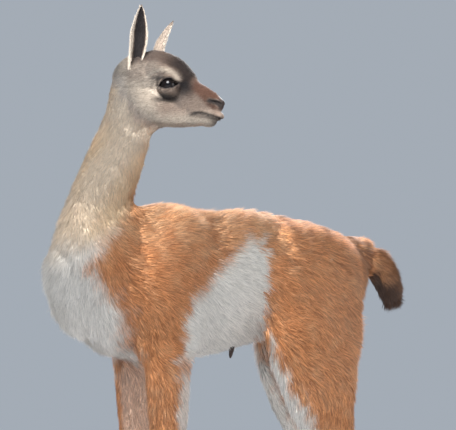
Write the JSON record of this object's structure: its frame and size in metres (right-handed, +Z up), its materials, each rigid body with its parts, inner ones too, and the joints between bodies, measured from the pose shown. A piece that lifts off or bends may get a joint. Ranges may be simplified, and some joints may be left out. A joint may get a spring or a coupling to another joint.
{
  "type": "young guanaco",
  "caption": "Life-size still model of a newborn guanaco that stands on thin legs and looks back over its left shoulder.",
  "frame": {"origin": "on the floor, under the middle of the animal's bounding box", "axes": "+Z up, the body runs along X and its chest faces -X, the animal's left side faces -Y"},
  "size_m": [0.6484, 0.2552, 1.0043],
  "materials": {
    "coat": "soft short wool, matte",
    "neck_coat": "soft short wool, matte",
    "face_coat": "very short fur, matte",
    "ear_coat": "very short fur, matte",
    "tail_coat": "long coarse hair, matte",
    "eye": "wet gloss",
    "nail": "satin horn",
    "dried_cord": "dry and wrinkled"
  },
  "bodies": {
    "root": {"ear_left": "ear_coat", "ear_right": "ear_coat", "eye_left": "eye", "eye_right": "eye", "foot_fore_left": "coat", "foot_fore_right": "coat", "foot_hind_left": "coat", "foot_hind_right": "coat", "head": "face_coat", "leg_fore_left": "coat", "leg_fore_right": "coat", "leg_hind_left": "coat", "leg_hind_right": "coat", "nail_fore_left_inner": "nail", "nail_fore_left_outer": "nail", "nail_fore_right_inner": "nail", "nail_fore_right_outer": "nail", "nail_hind_left_inner": "nail", "nail_hind_left_outer": "nail", "nail_hind_right_inner": "nail", "nail_hind_right_outer": "nail", "navel_stump": "dried_cord", "neck": "neck_coat", "tail": "tail_coat", "torso": "coat"}
  },
  "joints": []
}
